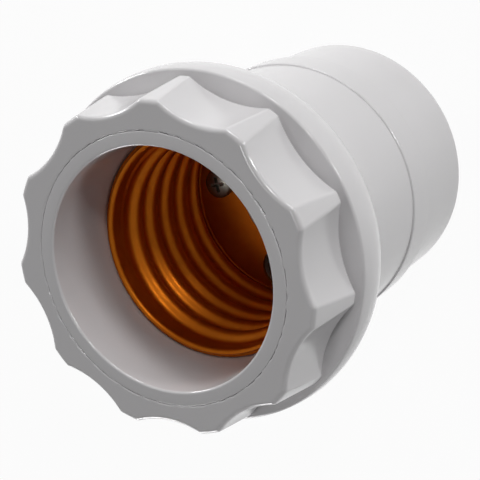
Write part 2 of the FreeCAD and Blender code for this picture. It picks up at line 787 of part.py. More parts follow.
# Sprung centre contact: a brass plunger held up under the boss by its coil spring
def make_centre_contact():
    body = new_body("centre_contact")
    flange_top = CAVITY_TOP_Z - size("ContactSlack")
    flange_bottom = flange_top - size("ContactFlangeThickness")
    tail_bottom = flange_bottom - size("ContactTailLength")
    top = BOSS_TOP_Z + size("ContactRise")
    tail = SPRING_RADIUS - size("SpringWireRadius") - size("ContactTailGap")
    corners = [
        (0, tail_bottom),
        (tail, tail_bottom),
        (tail, flange_bottom),
        (CONTACT_FLANGE_RADIUS, flange_bottom),
        (CONTACT_FLANGE_RADIUS, flange_top),
        (size("ContactRadius"), flange_top),
        (size("ContactRadius"), top),
        (0, top),
    ]
    revolve(body, "ContactTurned", corners)
    dome = ring_edges(body.Shape, [(size("ContactRadius"), top)])
    round_edges(body, "ContactDomeRound", dome, size("ContactDome"))


def make_contact_spring():
    body = new_body("contact_spring")
    wire = size("SpringWireRadius")
    flange_bottom = CAVITY_TOP_Z - size("ContactSlack") - size("ContactFlangeThickness")
    low = BLOCK_BOTTOM_Z + wire + size("PartGap") / 2
    high = flange_bottom - wire - size("PartGap") / 2
    rise = high - low
    sketch = new_sketch(body, "WireCircle", "XZ_Plane")
    draw_circles(sketch, [(SPRING_RADIUS, 0, wire)])
    sketch.AttachmentOffset = FreeCAD.Placement(FreeCAD.Vector(0, low.value, 0), FreeCAD.Rotation())
    sketch.setExpression("AttachmentOffset.Base.y", low.text)
    coil = body.newObject("PartDesign::AdditiveHelix", "Coil")
    coil.Profile = sketch
    coil.ReferenceAxis = (sketch, ["V_Axis"])
    coil.Mode = 0
    pitch = rise / size("SpringTurns")
    coil.Pitch = pitch.value
    coil.setExpression("Pitch", pitch.text)
    coil.Height = rise.value
    coil.setExpression("Height", rise.text)
    finish_feature(body, coil)


def cylinder(name, radius, height, place, along="z"):
    """Cylinder from a place, given as X, Y and Z, along one axis."""
    rod = doc.addObject("Part::Cylinder", name)
    rod.Radius = radius.value
    rod.setExpression("Radius", radius.text)
    rod.Height = height.value
    rod.setExpression("Height", height.text)
    turns = {
        "z": FreeCAD.Rotation(),
        "x": FreeCAD.Rotation(FreeCAD.Vector(0, 1, 0), QUARTER_TURN),
        "y": FreeCAD.Rotation(FreeCAD.Vector(1, 0, 0), -QUARTER_TURN),
    }
    put(rod, place, turns[along])
    return rod


def block(name, lengths, place):
    """Box of three lengths, centred on a place in X and Y and standing on it in Z."""
    solid = doc.addObject("Part::Box", name)
    for side, length in zip(("Length", "Width", "Height"), lengths):
        setattr(solid, side, length.value)
        solid.setExpression(side, length.text)
    x, y, z = (as_size(value) for value in place)
    put(solid, (x - lengths[0] / 2, y - lengths[1] / 2, z), FreeCAD.Rotation())
    return solid


def put(solid, place, turn):
    places = [as_size(value) for value in place]
    solid.Placement = FreeCAD.Placement(FreeCAD.Vector(*(item.value for item in places)), turn)
    for axis, item in zip("xyz", places):
        solid.setExpression(f"Placement.Base.{axis}", item.text)


def fuse(name, solids):
    joined = doc.addObject("Part::MultiFuse", name)
    joined.Shapes = solids
    return joined


def take_from(name, base, tools):
    tool = tools[0] if len(tools) == 1 else fuse(f"{name}Tools", tools)
    result = doc.addObject("Part::Cut", name)
    result.Base = base
    result.Tool = tool
    return result


def keep(label, solid):
    """Keep a finished solid, or group of like solids, as a node."""
    solid.Label = label
    nodes.append(solid)


# Shell screws: two cross-recessed screws through the brass bottom and the block
def make_shell_screws():
    solids = []
    recesses = []
    bottom = BLOCK_BOTTOM_Z - size("ShellScrewReach")
    recess_z = DISC_TOP_Z + size("ShellScrewHeadHeight") - size("CrossDepth")
    for place, x in enumerate((FIXING_CIRCLE, -FIXING_CIRCLE)):
        head = cylinder(
            f"ShellScrewHead{place}",
            size("ShellScrewHead"),
            size("ShellScrewHeadHeight"),
            (x, 0, DISC_TOP_Z),
        )
        length = DISC_TOP_Z - bottom
        shank = cylinder(
            f"ShellScrewShank{place}", size("ShellScrewShank"), length, (x, 0, bottom)
        )
        solids += [head, shank]
        long, thin, deep = size("CrossLength"), size("CrossWidth"), size("CrossDepth")
        recesses.append(block(f"CrossA{place}", (long, thin, deep), (x, 0, recess_z)))
        recesses.append(block(f"CrossB{place}", (thin, long, deep), (x, 0, recess_z)))
    rods = fuse("ShellScrewRods", solids)
    keep("shell_screws", take_from("ShellScrews", rods, recesses))


def ring_solid(name, outer, inner, thickness, place):
    """Flat ring standing on a place."""
    disc = cylinder(f"{name}Disc", outer, thickness, place)
    hole = cylinder(f"{name}Hole", inner, thickness, place)
    return take_from(name, disc, [hole])


def make_shell_washer():
    """Spring washer under the nut of the shell screw that carries no terminal."""
    thickness = size("WasherThickness")
    hole = size("ShellScrewShank") + size("BushSideGap")
    place = (-FIXING_CIRCLE, 0, BLOCK_BOTTOM_Z - thickness)
    outer = size("ShellScrewShank") + size("WasherWidth")
    ring = ring_solid("ShellWasher", outer, hole, thickness, place)
    keep("shell_washer", ring)


def make_shell_nut():
    across_flats = (size("ShellScrewShank") + size("ShellNutWall")) * 2
    corner = across_flats / math.sqrt(3)
    thickness = size("ShellNutThickness")
    place = (-FIXING_CIRCLE, 0, BLOCK_BOTTOM_Z - size("WasherThickness") - thickness)
    prism = doc.addObject("Part::Prism", "ShellNutPrism")
    prism.Polygon = 6
    prism.Circumradius = corner.value
    prism.setExpression("Circumradius", corner.text)
    prism.Height = thickness.value
    prism.setExpression("Height", thickness.text)
    put(prism, place, FreeCAD.Rotation())
    bore = size("ShellScrewShank") + size("BushSideGap")
    hole = cylinder("ShellNutHole", bore, thickness, place)
    keep("shell_nut", take_from("ShellNut", prism, [hole]))


# Line plate: closes the spring cavity and carries the current out to the line clamp
def make_line_plate():
    body = new_body("line_plate")
    thickness = size("PlateThickness")
    seat = [(0, 0, CAVITY_RADIUS + size("SpringSeatRim"))]
    pad_circles(body, "SpringSeat", seat, CLAMP_TOP_Z, thickness)
    half = size("PlateWidth") / 2
    arm = rectangle(-half, half, as_size(0), FIXING_CIRCLE + size("PlateEnd"))
    pad_outline(body, "LineArm", arm, CLAMP_TOP_Z, thickness)
    screw = size("PlateScrewShank") + size("BushSideGap")
    place = [(0, FIXING_CIRCLE, screw)]
    cut_circles(body, "LineScrewHole", place, CLAMP_TOP_Z, thickness)


# Wire clamps: brass blocks with a wire hole from below and a screw from the outer side
def make_line_clamp():
    body = new_body("line_clamp")
    near = LINE_CLAMP_END - size("LineClampLength")
    half = size("ClampWidth") / 2
    outline = rectangle(-half, half, near, LINE_CLAMP_END)
    pad_outline(body, "LineClampBlock", outline, CLAMP_BOTTOM_Z, CLAMP_RISE)
    wire = [(0, LINE_CLAMP_END - size("WireOffset"), size("WireRadius"))]
    cut_circles(body, "LineWireHole", wire, CLAMP_BOTTOM_Z, CLAMP_RISE)
    cut_clamp_bore(body, "LineClampBore", "XZ_Plane", LINE_CLAMP_END, as_size(0))


def make_neutral_clamp():
    body = new_body("neutral_clamp")
    far = NEUTRAL_CLAMP_END
    side = size("NeutralWireSide")
    low = -side - size("ClampScrewHead")
    high = size("ShellScrewShank") + size("NeutralClampWall")
    rise = BLOCK_BOTTOM_Z - CLAMP_BOTTOM_Z
    outline = rectangle(NEUTRAL_CLAMP_START, far, low, high)
    pad_outline(body, "NeutralClampBlock", outline, CLAMP_BOTTOM_Z, rise)
    shank = size("ShellScrewShank") + size("BushSideGap")
    wire = (far - size("WireOffset"), -side, size("WireRadius"))
    cut_circles(body, "NeutralWireHole", [wire], CLAMP_BOTTOM_Z, CLAMP_RISE)
    screw = (FIXING_CIRCLE, 0, shank)
    cut_circles(body, "NeutralShellScrewHole", [screw], CLAMP_BOTTOM_Z, rise)
    cut_clamp_bore(body, "NeutralClampBore", "YZ_Plane", far, -side)


def cut_clamp_bore(body, name, plane, far, across):
    """Bore for the clamp's screw, from the outer side in to the wire hole."""
    inward = size("ClampScrewReach")
    offset = inward - far if plane == "XZ_Plane" else far - inward
    sketch = new_sketch(body, f"{name}Circle", plane, offset)
    bore = size("ClampScrewShank") + size("BushSideGap")
    draw_circles(sketch, [(across, CLAMP_SCREW_Z, bore)])
    before = body.Shape.Volume
    pocket = body.newObject("PartDesign::Pocket", name)
    pocket.Profile = sketch
    pocket.Length = inward.value
    pocket.setExpression("Length", inward.text)
    pocket.Reversed = plane == "YZ_Plane"
    finish_feature(body, pocket)
    if not body.Shape.Volume < before:
        raise RuntimeError(f"{name} takes nothing away")


def clamp_screw_places():
    """Outer face, sideways place and direction of each clamp's screw."""
    return [
        ("y", LINE_CLAMP_END, as_size(0)),
        ("x", NEUTRAL_CLAMP_END, -size("NeutralWireSide")),
    ]


def along(direction, out, side):
    """Place on a clamp's screw axis, this far out from the socket's axis."""
    if direction == "x":
        return (out, side, CLAMP_SCREW_Z)
    return (side, out, CLAMP_SCREW_Z)


def make_clamp_screws():
    solids = []
    slots = []
    washer = size("PressureWasherThickness")
    head_height = size("ClampScrewHeadHeight")
    for direction, far, side in clamp_screw_places():
        shank = cylinder(
            f"ClampShank_{direction}",
            size("ClampScrewShank"),
            size("ClampScrewReach") + washer,
            along(direction, far - size("ClampScrewReach"), side),
            direction,
        )
        head = cylinder(
            f"ClampHead_{direction}",
            size("ClampScrewHead"),
            head_height,
            along(direction, far + washer, side),
            direction,
        )
        solids += [shank, head]
        depth = size("SlotDepth")
        outer = far + washer + head_height - depth / 2
        across = size("ClampScrewHead") * 2
        thin = size("SlotWidth")
        lengths = (depth, across, thin) if direction == "x" else (across, depth, thin)
        x, y, z = along(direction, outer, side)
        slots.append(block(f"ClampSlot_{direction}", lengths, (x, y, z - thin / 2)))
    rods = fuse("ClampScrewRods", solids)
    keep("clamp_screws", take_from("ClampScrews", rods, slots))


def make_pressure_washers():
    rings = []
    hole = size("ClampScrewShank") + size("BushSideGap")
    thickness = size("PressureWasherThickness")
    for direction, far, side in clamp_screw_places():
        place = along(direction, far, side)
        outer = size("ClampScrewHead") + size("PressureWasherRim")
        disc = cylinder(f"PressureDisc_{direction}", outer, thickness, place, direction)
        bore = cylinder(f"PressureHole_{direction}", hole, thickness, place, direction)
        rings.append(take_from(f"PressureWasher_{direction}", disc, [bore]))
    keep("pressure_washers", fuse("PressureWashers", rings))


# Plate screw: holds the line plate, with its head in the well seen through the brass bottom
def make_plate_screw():
    y = FIXING_CIRCLE
    head_height = size("PlateScrewHeadHeight")
    head = cylinder(
        "PlateScrewHeadDisc", size("PlateScrewHead"), head_height, (0, y, ACCESS_FLOOR_Z)
    )
    length = ACCESS_FLOOR_Z - CLAMP_TOP_Z
    shank = cylinder("PlateScrewRod", size("PlateScrewShank"), length, (0, y, CLAMP_TOP_Z))
    slot_z = ACCESS_FLOOR_Z + head_height - size("SlotDepth")
    across = size("PlateScrewHead") * 2
    slot = block("PlateScrewSlot", (across, size("SlotWidth"), size("SlotDepth")), (0, y, slot_z))
    rods = fuse("PlateScrewSolid", [head, shank])
    keep("plate_screw", take_from("PlateScrew", rods, [slot]))


# Block screws: pass up through the ledge of the shell into the contact block
def make_block_screws():
    solids = []
    slots = []
    head_height = size("BlockScrewHeadHeight")
    head_z = LEDGE_BOTTOM_Z - head_height
    for place, side in enumerate((DIAGONAL, -DIAGONAL)):
        head = cylinder(
            f"BlockScrewHead{place}", size("BlockScrewHead"), head_height, (side, side, head_z)
        )
        shank = cylinder(
            f"BlockScrewShank{place}",
            size("BlockScrewShank"),
            size("LedgeThickness") + size("BlockScrewDepth"),
            (side, side, LEDGE_BOTTOM_Z),
        )
        solids += [head, shank]
        lengths = (size("BlockScrewHead") * 2, size("SlotWidth"), size("SlotDepth"))
        slots.append(block(f"BlockScrewSlot{place}", lengths, (side, side, head_z)))
    rods = fuse("BlockScrewRods", solids)
    keep("block_screws", take_from("BlockScrews", rods, slots))


BUILDERS = [
    make_shell,
    make_shade_ring,
    make_rear_cap,
    make_entry_bush,
    make_lock_washer,
    make_bush_nut,
    make_screw_shell,
    make_contact_block,
    make_centre_contact,
    make_contact_spring,
    make_shell_screws,
    make_shell_washer,
    make_shell_nut,
    make_line_plate,
    make_line_clamp,
    make_neutral_clamp,
    make_clamp_screws,
    make_pressure_washers,
    make_plate_screw,
    make_block_screws,
]
for build in BUILDERS:
    build()


def check_document():
    doc.recompute()
    for item in doc.Objects:
        if "Invalid" in item.State or "Error" in item.State:
            raise RuntimeError(f"{item.Name} did not build: {item.State}")
    for node in nodes:
        if node.Shape.isNull() or not node.Shape.isValid():
            raise RuntimeError(f"{node.Label} has no valid shape")


check_document()
os.makedirs("parts", exist_ok=True)
for node in nodes:
    node.Shape.exportStep(f"parts/{node.Label}.step")
    print(node.Label, round(node.Shape.Volume, 2), "mm3", len(node.Shape.Solids), "solids")
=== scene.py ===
import math

import bmesh
import bpy
from mathutils import Matrix, Vector


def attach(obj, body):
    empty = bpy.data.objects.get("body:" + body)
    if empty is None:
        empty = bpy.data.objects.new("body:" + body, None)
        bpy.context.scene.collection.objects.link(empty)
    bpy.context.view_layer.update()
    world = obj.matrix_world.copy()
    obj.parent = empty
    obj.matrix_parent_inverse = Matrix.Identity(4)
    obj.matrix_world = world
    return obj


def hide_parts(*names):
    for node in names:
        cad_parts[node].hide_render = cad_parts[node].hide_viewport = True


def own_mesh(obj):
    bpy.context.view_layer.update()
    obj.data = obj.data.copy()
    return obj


# Lamp socket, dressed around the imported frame. Sizes are in millimetres and become metres in
# the meshes. The socket stands on its rear cap at Z = 0 with the mouth up.

MM = 0.001
FULL_TURN = 2 * math.pi
QUARTER_TURN = math.pi / 2

# Shell: barrel, body, inner ledge and spigot
TOP = 49.6
MOUTH_RADIUS = 14.5
BARREL_RADIUS = 16.2
BARREL_EDGE = 0.14
BODY_RADIUS = 17.1
SPIGOT_RADIUS = 15.5
SHELL_BORE = 13.95
LIP_SEAT = 38.2
LIP_SEAT_EDGE = 0.15
JOINT = 17.45
LEDGE_BORE = 10.6
LEDGE_BOTTOM = 11.0
LEDGE_HOLE = 0.85
NOTCH_NEAR = 9.5
NOTCH_FAR = 13.3
NOTCH_HALF_WIDTH = 4.2

# Flange behind the shade ring
FLANGE_FRONT = 41.0
FLANGE_REAR = 34.8
FLANGE_FRONT_RADIUS = 21.4
FLANGE_REAR_RADIUS = 20.6
FLANGE_RIM = 9.0
FLANGE_EDGE = 0.35
FLANGE_BLEND = 1.2

# Shade ring, with the depth and the radius of its scallops at either end
RING_REAR = 41.3
RING_FRONT_RADIUS = 19.72
RING_REAR_RADIUS = 20.86
RING_BORE = 16.32
RING_BORE_EDGE = 0.16
RING_FRONT_ROUND = 0.5
RING_REAR_ROUND = 0.7
SEAM_RADIUS = 16.22
SEAM_LAND = 0.3
LOBES = 11
LOBE_TURN = 14.8
LOBE_CORNER = 0.75
SCALLOP_FRONT = (1.35, 11.0)
SCALLOP_REAR = (1.66, 14.5)

# Rear cap
CAP_TOP = 17.3
CAP_BAND = 12.7
CAP_BAND_RADIUS = 17.3
CAP_TAIL_RADIUS = 16.65

# Contact block and the centre contact in it
BLOCK_TOP = 18.5
BLOCK_BOTTOM = 12.5
BLOCK_RADIUS = 13.8
BLOCK_SCREW_CIRCLE = 12.15
BOSS_RADIUS = 5.2
BOSS_TOP = 20.7
FIXING_CIRCLE = 9.7
ACCESS_RADIUS = 2.65
ACCESS_FLOOR = 17.5
SCREW_WAY = 1.1
CONTACT_SEAT = 18.6

# Screw shell and its Edison thread
DISC_TOP = 18.9
THREAD_MAJOR = 13.3
THREAD_DEPTH = 1.095
THREAD_PITCH = 3.629
SHEET = 0.35

# Roundings that many edges share, and how far a cutter reaches past what it cuts
HAIR_EDGE = 0.05
FINE_EDGE = 0.1
SMALL_EDGE = 0.2
SOFT_EDGE = 0.3
OVERCUT = 1.0

# Facets round a full turn, and steps along rounded edges
LARGE_FACETS = 256
CUP_FACETS = 200
MEDIUM_FACETS = 128
CONTACT_FACETS = 96
SMALL_FACETS = 64
DISC_HOLE_FACETS = 48
HOLE_FACETS = 32
EDGE_STEPS = 6
RIM_STEPS = 14

# In metres: points nearer than the first become one, and edges shorter than the second go
WELD = 1e-8
NO_LENGTH = 1e-9

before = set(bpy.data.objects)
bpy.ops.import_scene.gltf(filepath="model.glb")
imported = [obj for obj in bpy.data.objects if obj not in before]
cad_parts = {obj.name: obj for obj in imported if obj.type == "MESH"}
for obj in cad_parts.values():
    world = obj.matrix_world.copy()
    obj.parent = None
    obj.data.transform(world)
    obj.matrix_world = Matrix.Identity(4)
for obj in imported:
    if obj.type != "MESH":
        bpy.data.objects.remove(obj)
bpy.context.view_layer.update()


# Outlines in the radius and height plane
def rounded(corners):
    """Closed outline through corners given as radius, height and rounding."""
    points = []
    count = len(corners)
    for place, (across, up, rounding) in enumerate(corners):
        corner = Vector((across, up))
        if rounding <= 0:
            points.append((across, up))
            continue
        before = (Vector(corners[place - 1][:2]) - corner).normalized()
        after = (Vector(corners[(place + 1) % count][:2]) - corner).normalized()
        half = before.angle(after) / 2
        back = rounding / math.tan(half)
        middle = corner + (before + after).normalized() * (rounding / math.sin(half))
        start = corner + before * back - middle
        sweep = start.angle_signed(corner + after * back - middle)
        for step in range(EDGE_STEPS + 1):
            turn = -sweep * step / EDGE_STEPS
            x = start.x * math.cos(turn) - start.y * math.sin(turn)
            y = start.x * math.sin(turn) + start.y * math.cos(turn)
            points.append((middle.x + x, middle.y + y))
    return points


def arc(centre, radius, first, last, steps):
    """Points along an arc, with its angles in radians."""
    points = []
    for step in range(steps + 1):
        angle = first + (last - first) * step / steps
        points.append((centre[0] + radius * math.cos(angle), centre[1] + radius * math.sin(angle)))
    return points


def rectangle(low, high, half_width):
    """Corners of a rectangle from low to high along X."""
    return [(low, -half_width), (high, -half_width), (high, half_width), (low, half_width)]


def flange_rim():
    """The flange's bulging rim with its two rounded edges, from the rear face to the front face."""
    low = Vector((FLANGE_REAR_RADIUS, FLANGE_REAR))
    high = Vector((FLANGE_FRONT_RADIUS, FLANGE_FRONT))
    chord = high - low
    inward = Vector((-chord.y, chord.x)).normalized()
    middle = (low + high) / 2 + inward * math.sqrt(FLANGE_RIM**2 - (chord.length / 2) ** 2)
    reach = FLANGE_RIM - FLANGE_EDGE
    centres = []
    for up in (FLANGE_REAR + FLANGE_EDGE, FLANGE_FRONT - FLANGE_EDGE):
        centres.append((middle.x + math.sqrt(reach**2 - (up - middle.y) ** 2), up))
    turns = [math.atan2(up - middle.y, across - middle.x) for across, up in centres]
    points = arc(centres[0], FLANGE_EDGE, -QUARTER_TURN, turns[0], EDGE_STEPS)
    points += arc(middle, FLANGE_RIM, turns[0], turns[1], RIM_STEPS)[1:]
    points += arc(centres[1], FLANGE_EDGE, turns[1], QUARTER_TURN, EDGE_STEPS)[1:]
    return [(across, up, 0) for across, up in points]


# Meshes
def new_mesh(name, points, faces):
    mesh = bpy.data.meshes.new(name)
    mesh.from_pydata(points, [], faces)
    return mesh


def new_object(name, data):
    item = bpy.data.objects.new(name, data)
    bpy.context.scene.collection.objects.link(item)
    return item


def bands(rings, width, closed=True, skip=()):
    """Faces that join each ring of points to the next, and the last to the first if closed."""
    faces = []
    for ring in range(rings if closed else rings - 1):
        here = ring * width
        there = (ring + 1) % rings * width
        for place in range(width):
            after = (place + 1) % width
            if place not in skip:
                faces.append((here + place, here + after, there + after, there + place))
    return faces


def finish_mesh(name, mesh, material, body, node, sharp=35):
    """Piece that is smooth up to an angle, rides on its body and replaces a node."""
    shape = bmesh.new()
    shape.from_mesh(mesh)
    bmesh.ops.remove_doubles(shape, verts=shape.verts, dist=WELD)
    bmesh.ops.recalc_face_normals(shape, faces=shape.faces)
    for face in shape.faces:
        face.smooth = True
    limit = math.radians(sharp)
    for edge in shape.edges:
        edge.smooth = len(edge.link_faces) == 2 and edge.calc_face_angle(0) < limit
    shape.to_mesh(mesh)
    shape.free()
    mesh.materials.clear()
    mesh.materials.append(material)
    piece = new_object(name, mesh)
    weighted = piece.modifiers.new("weighted", "WEIGHTED_NORMAL")
    weighted.keep_sharp = True
    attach(piece, body)
    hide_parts(node)
    return piece


def turned(name, outline_at, segments):
    """Closed mesh from an outline about Z, where the outline may change with the angle."""
    points = []
    for segment in range(segments):
        angle = FULL_TURN * segment / segments
        cos, sin = math.cos(angle), math.sin(angle)
        for across, up in outline_at(angle):
            points.append((across * cos * MM, across * sin * MM, up * MM))
    first = outline_at(0.0)
    rows = len(first)
    on_axis = []
    for row in range(rows):
        if first[row][0] == 0 and first[(row + 1) % rows][0] == 0:
            on_axis.append(row)
    mesh = new_mesh(name, points, bands(segments, rows, skip=on_axis))
    shape = bmesh.new()
    shape.from_mesh(mesh)
    bmesh.ops.remove_doubles(shape, verts=shape.verts, dist=WELD)
    bmesh.ops.dissolve_degenerate(shape, edges=shape.edges, dist=NO_LENGTH)
    bmesh.ops.recalc_face_normals(shape, faces=shape.faces)
    shape.to_mesh(mesh)
    shape.free()
    return mesh


def lathe(name, outline, segments):
    """Closed mesh of one outline turned about Z."""
    return turned(name, lambda angle: outline, segments)


def moved(mesh, place):
    mesh.transform(Matrix.Translation(Vector(place) * MM))
    return mesh


def prism(name, corners, low, high, shrink=1.0):
    """Closed prism on a flat outline. Shrink scales the low end for a tapered recess."""
    points = [(x * shrink * MM, y * shrink * MM, low * MM) for x, y in corners]
    points += [(x * MM, y * MM, high * MM) for x, y in corners]
    count = len(corners)
    faces = [tuple(reversed(range(count))), tuple(range(count, 2 * count))]
    for side in range(count):
        after = (side + 1) % count
        faces.append((side, after, count + after, count + side))
    return new_mesh(name, points, faces)


def rod(name, radius, low, high, segments):
    """Plain closed rod used to cut holes."""
    return lathe(name, [(0, low), (radius, low), (radius, high), (0, high)], segments)


def carved(mesh, cutters):
    """The mesh with the cutters taken out of it."""
    base = new_object("carving", mesh)
    made = [base]
    for cutter in cutters:
        tool = new_object("cutter", cutter)
        made.append(tool)
        cut = base.modifiers.new("cut", "BOOLEAN")
        cut.operation = "DIFFERENCE"
        cut.solver = "EXACT"
        cut.object = tool
    bpy.context.view_layer.update()
    graph = bpy.context.evaluated_depsgraph_get()
    result = bpy.data.meshes.new_from_object(base.evaluated_get(graph))
    for item in made:
        old = item.data
        bpy.data.objects.remove(item)
        bpy.data.meshes.remove(old)
    return result


# Shader nodes. The range is where nearly all of a noise texture's values lie.
NOISE_LOW = 0.3
NOISE_HIGH = 0.7


class Nodes:
    """A node tree, with short calls to add and join nodes."""

    def __init__(self, tree):
        self.tree = tree

    def add(self, kind, **values):
        node = self.tree.nodes.new(kind)
        for key, value in values.items():
            setattr(node, key, value)
        return node

    def join(self, source, output, target, socket):
        self.tree.links.new(source.outputs[output], target.inputs[socket])

    def seen(self, low, high):
        """Node that gives high to rays that show the surroundings and low to those that light."""
        path = self.add("ShaderNodeLightPath")
        shown = self.add("ShaderNodeMath", operation="ADD")
        self.join(path, "Is Camera Ray", shown, 0)
        self.join(path, "Is Glossy Ray", shown, 1)
        shown_through = self.add("ShaderNodeMath", operation="ADD", use_clamp=True)
        self.join(shown, "Value", shown_through, 0)
        self.join(path, "Is Transmission Ray", shown_through, 1)
        level = self.add("ShaderNodeMath", operation="MULTIPLY_ADD")
        level.inputs[1].default_value = high - low
        level.inputs[2].default_value = low
        self.join(shown_through, "Value", level, 0)
        return level


class Shader(Nodes):
    """Node tree of one material. Noise scales are per metre and bump distances in metres."""

    def __init__(self, name):
        self.material = bpy.data.materials.new(name)
        self.material.use_nodes = True
        super().__init__(self.material.node_tree)
        self.tree.nodes.clear()
        self.output = self.add("ShaderNodeOutputMaterial")

    def noise(self, scale, detail, roughness=0.5, stretch=None):
        place = self.add("ShaderNodeTexCoord")
        noise = self.add("ShaderNodeTexNoise")
        noise.inputs["Scale"].default_value = scale
        noise.inputs["Detail"].default_value = detail
        noise.inputs["Roughness"].default_value = roughness
        if stretch is None:
            self.join(place, "Object", noise, "Vector")
        else:
            mapping = self.add("ShaderNodeMapping")
            mapping.inputs["Scale"].default_value = stretch
            self.join(place, "Object", mapping, "Vector")
            self.join(mapping, "Vector", noise, "Vector")
        return noise

    def ramp(self, noise, stops):
        """Colours of a noise, with stops given as place and colour."""
        ramp = self.add("ShaderNodeValToRGB")
        elements = ramp.color_ramp.elements
        while len(elements) > 1:
            elements.remove(elements[-1])
        elements[0].position, elements[0].color = stops[0][0], (*stops[0][1], 1)
        for place, colour in stops[1:]:
            elements.new(place).color = (*colour, 1)
        self.join(noise, "Fac", ramp, "Fac")
        return ramp

    def spread(self, noise, low, high):
        """A noise's values mapped on to a range."""
        spread = self.add("ShaderNodeMapRange")
        spread.inputs["From Min"].default_value = NOISE_LOW
        spread.inputs["From Max"].default_value = NOISE_HIGH
        spread.inputs["To Min"].default_value = low
        spread.inputs["To Max"].default_value = high
        self.join(noise, "Fac", spread, "Value")
        return spread

    def bump(self, noise, distance, strength, normal=None):
        bump = self.add("ShaderNodeBump")
        bump.inputs["Distance"].default_value = distance
        bump.inputs["Strength"].default_value = strength
        self.join(noise, "Fac", bump, "Height")
        if normal is not None:
            self.join(normal, "Normal", bump, "Normal")
        return bump

    def finish(self, surface, colour, gloss, normal):
        """Join the textures to the surface and the surface to the material."""
        self.join(colour, "Color", surface, "Base Color")
        self.join(gloss, "Result", surface, "Roughness")
        self.join(normal, "Normal", surface, "Normal")
        self.join(surface, "BSDF", self.output, "Surface")
        return self.material


# Materials
def plastic(name, light, dark, rough, grain, shine=0.5):
    """Moulded plastic: faint mottling, a fine moulded grain and slow waves in the gloss."""
    shader = Shader(name)
    surface = shader.add("ShaderNodeBsdfPrincipled")
    surface.inputs["IOR"].default_value = 1.5
    surface.inputs["Specular IOR Level"].default_value = shine
    mottle = shader.noise(scale=90.0, detail=5.0)
    colour = shader.ramp(mottle, [(NOISE_LOW, dark), (NOISE_HIGH, light)])
    wave = shader.noise(scale=240.0, detail=3.0)
    gloss = shader.spread(wave, low=rough - 0.04, high=rough + 0.05)
    fine = shader.noise(scale=1500.0, detail=2.0)
    slow = shader.noise(scale=160.0, detail=2.0)
    ripple = shader.bump(slow, distance=0.00001, strength=0.5)
    skin = shader.bump(fine, distance=grain, strength=0.6, normal=ripple)
    return shader.finish(surface, colour, gloss, skin)


def metal(name, light, dark, rough, mark, stretch, tarnish=60.0):
    """Worked metal: tarnish clouds, drawing marks along one direction and a varying gloss."""
    tarnished, clean = 0.32, 0.62
    shader = Shader(name)
    surface = shader.add("ShaderNodeBsdfPrincipled")
    surface.inputs["Metallic"].default_value = 1.0
    clouds = shader.noise(scale=tarnish, detail=6.0, roughness=0.6)
    colour = shader.ramp(clouds, [(tarnished, dark), (clean, light)])
    marks = shader.noise(scale=900.0, detail=4.0, roughness=0.6, stretch=stretch)
    gloss = shader.spread(marks, low=rough - 0.06, high=rough + 0.1)
    pits = shader.noise(scale=1500.0, detail=3.0)
    drawn = shader.bump(marks, distance=mark, strength=0.5)
    pitted = shader.bump(pits, distance=mark, strength=0.35, normal=drawn)
    return shader.finish(surface, colour, gloss, pitted)


white = plastic(
    "white_plastic",
    light=(0.80, 0.785, 0.795),
    dark=(0.785, 0.77, 0.78),
    rough=0.17,
    grain=0.0000008,
    shine=1.0,
)
ivory = plastic(
    "block_plastic",
    light=(0.72, 0.68, 0.6),
    dark=(0.62, 0.58, 0.5),
    rough=0.55,
    grain=0.000008,
)
brass = metal(
    "drawn_brass",
    light=(0.74, 0.21, 0.016),
    dark=(0.56, 0.135, 0.008),
    rough=0.42,
    mark=0.000003,
    stretch=(1.0, 1.0, 6.0),
)
turned_brass = metal(
    "turned_brass",
    light=(0.83, 0.60, 0.28),
    dark=(0.68, 0.46, 0.18),
    rough=0.35,
    mark=0.000005,
    stretch=(1.0, 1.0, 8.0),
)
steel = metal(
    "zinc_steel",
    light=(0.62, 0.62, 0.60),
    dark=(0.46, 0.46, 0.44),
    rough=0.34,
    mark=0.000005,
    stretch=(4.0, 1.0, 1.0),
    tarnish=300.0,
)
screw_steel = metal(
    "dark_steel",
    light=(0.42, 0.41, 0.36),
    dark=(0.24, 0.23, 0.19),
    rough=0.36,
    mark=0.000005,
    stretch=(4.0, 1.0, 1.0),
    tarnish=300.0,
)

NODE_MATERIALS = {
    "shell_washer": steel,
    "shell_nut": steel,
    "line_plate": turned_brass,
    "line_clamp": turned_brass,
    "neutral_clamp": turned_brass,
    "clamp_screws": steel,
    "pressure_washers": steel,
    "block_screws": steel,
    "bush_lock_washer": steel,
    "bush_nut": steel,
}


def dress_nodes():
    """Give the nodes that show as they are their materials."""
    for node, material in NODE_MATERIALS.items():
        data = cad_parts[node].data
        data.materials.clear()
        data.materials.append(material)


